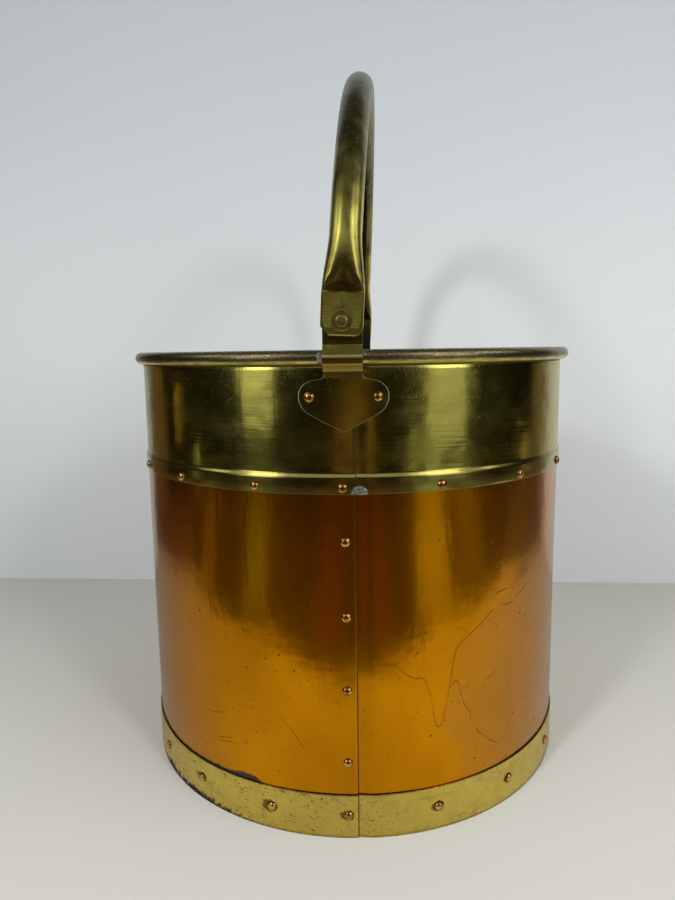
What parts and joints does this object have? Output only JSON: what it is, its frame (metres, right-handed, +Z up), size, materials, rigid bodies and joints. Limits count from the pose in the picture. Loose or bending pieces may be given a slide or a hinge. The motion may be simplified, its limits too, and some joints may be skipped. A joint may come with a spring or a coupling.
{
  "type": "coal bucket",
  "caption": "Cylindrical copper coal bucket with riveted brass collar and base band, rolled rim and a tubular brass bail that swings on two shield-shaped brackets.",
  "frame": {"origin": "centre of the bucket's foot, on the floor", "axes": "+Z up along the bucket's own axis; the seam and the front bracket face -Y; the bail turns about a line along Y"},
  "size_m": [0.3094, 0.3234, 0.4684],
  "materials": {
    "copper": "polished copper with aged lacquer",
    "brass": "polished brass, tarnished in places",
    "brass_inside": "dull tarnished sheet",
    "rivet_copper": "polished copper",
    "iron_wire": "plain iron wire"
  },
  "bodies": {
    "bucket": {"copper_body": "copper", "brass_collar": "brass", "rim_wire": "iron_wire", "base_band": "brass", "bottom_plate": "brass_inside", "front_bracket": "brass", "rear_bracket": "brass", "front_pivot_rivet": "brass", "rear_pivot_rivet": "brass", "collar_rivet_01": "rivet_copper", "collar_rivet_02": "rivet_copper", "collar_rivet_03": "rivet_copper", "collar_rivet_04": "rivet_copper", "collar_rivet_05": "rivet_copper", "collar_rivet_06": "rivet_copper", "collar_rivet_07": "rivet_copper", "collar_rivet_08": "rivet_copper", "collar_rivet_09": "rivet_copper", "collar_rivet_10": "rivet_copper", "collar_rivet_11": "rivet_copper", "collar_rivet_12": "rivet_copper", "collar_rivet_13": "rivet_copper", "collar_rivet_14": "rivet_copper", "collar_rivet_15": "rivet_copper", "collar_rivet_16": "rivet_copper", "base_rivet_01": "rivet_copper", "base_rivet_02": "rivet_copper", "base_rivet_03": "rivet_copper", "base_rivet_04": "rivet_copper", "base_rivet_05": "rivet_copper", "base_rivet_06": "rivet_copper", "base_rivet_07": "rivet_copper", "base_rivet_08": "rivet_copper", "base_rivet_09": "rivet_copper", "base_rivet_10": "rivet_copper", "base_rivet_11": "rivet_copper", "base_rivet_12": "rivet_copper", "base_rivet_13": "rivet_copper", "base_rivet_14": "rivet_copper", "base_rivet_15": "rivet_copper", "base_rivet_16": "rivet_copper", "seam_rivet_1": "rivet_copper", "seam_rivet_2": "rivet_copper", "seam_rivet_3": "rivet_copper", "seam_rivet_4": "rivet_copper", "front_bracket_rivet_left": "rivet_copper", "front_bracket_rivet_right": "rivet_copper", "rear_bracket_rivet_left": "rivet_copper", "rear_bracket_rivet_right": "rivet_copper"},
    "handle": {"bail_handle": "brass", "front_pivot_washer": "brass", "rear_pivot_washer": "brass"}
  },
  "joints": [
    {"name": "handle_pivot", "type": "hinge", "parent": "bucket", "child": "handle", "pos_m": [0.0024, 0, 0.3001], "axis": [0, 1, 0], "range_deg": [-95.5, 91]}
  ]
}
